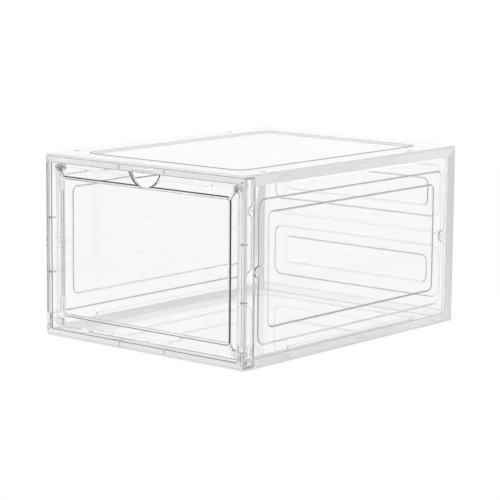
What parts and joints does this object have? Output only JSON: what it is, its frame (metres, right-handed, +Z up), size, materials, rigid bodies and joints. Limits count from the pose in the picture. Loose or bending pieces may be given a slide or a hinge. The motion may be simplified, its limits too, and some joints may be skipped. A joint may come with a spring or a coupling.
{
  "type": "shoe box",
  "caption": "Clear plastic stackable shoe box with a magnet-held drop-front door, stepped side walls, round vents and a recessed lid.",
  "frame": {"origin": "centre of the base, on the surface the box stands on", "axes": "+Z up, -Y towards the door, +X to the right seen from the front"},
  "size_m": [0.265, 0.345, 0.1888],
  "materials": {
    "clear_plate": "clear, glossy",
    "clear_wall": "clear, glossy, rails lightly frosted",
    "clear_frame": "clear, glossy",
    "clear_door": "clear, glossy",
    "magnet": "nickel-plated, satin"
  },
  "bodies": {
    "shell": {"top_panel": "clear_plate", "bottom_panel": "clear_plate", "right_side_panel": "clear_wall", "left_side_panel": "clear_wall", "back_panel": "clear_wall", "front_frame": "clear_frame", "frame_magnet_left": "magnet", "frame_magnet_right": "magnet"},
    "door": {"front_door": "clear_door", "door_magnet_left": "magnet", "door_magnet_right": "magnet"}
  },
  "joints": [
    {"name": "door_hinge", "type": "hinge", "parent": "shell", "child": "door", "pos_m": [0, -0.1652, 0.0155], "axis": [1, 0, 0], "range_deg": [0, 90]}
  ]
}
